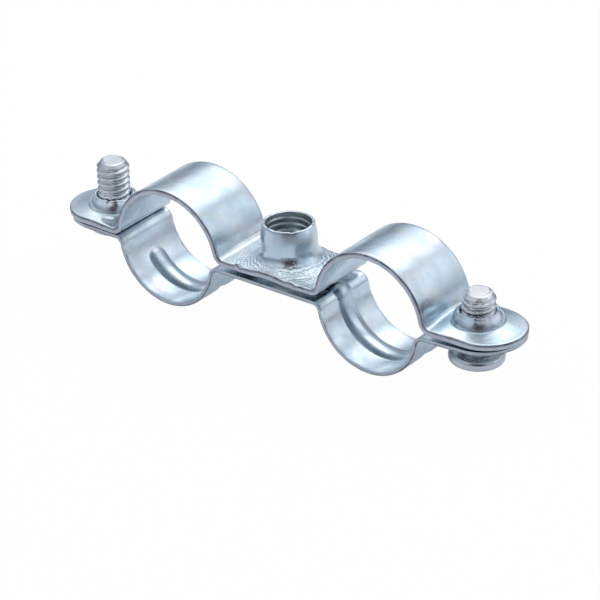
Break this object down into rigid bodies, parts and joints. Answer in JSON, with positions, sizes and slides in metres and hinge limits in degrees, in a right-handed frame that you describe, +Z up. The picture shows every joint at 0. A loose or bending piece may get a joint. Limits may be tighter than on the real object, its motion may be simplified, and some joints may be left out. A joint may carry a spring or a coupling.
{
  "type": "double pipe clamp",
  "caption": "Double pipe clamp of formed zinc-plated steel strips, with a threaded boss between its rings and a machine screw through each ear.",
  "frame": {"origin": "on the axis of the threaded boss, at the middle of its thread", "axes": "+Z up out of the boss along its thread, +X along the strips towards the slack screw, +Y along the pipes"},
  "size_m": [0.1005, 0.0142, 0.0233],
  "materials": {
    "zinc_strip": "bright blue-passivated zinc plating on cold-rolled strip",
    "zinc_screw": "bright zinc plating"
  },
  "bodies": {
    "root": {"upper_strip": "zinc_strip", "lower_strip": "zinc_strip", "left_screw": "zinc_screw", "right_screw": "zinc_screw"}
  },
  "joints": []
}
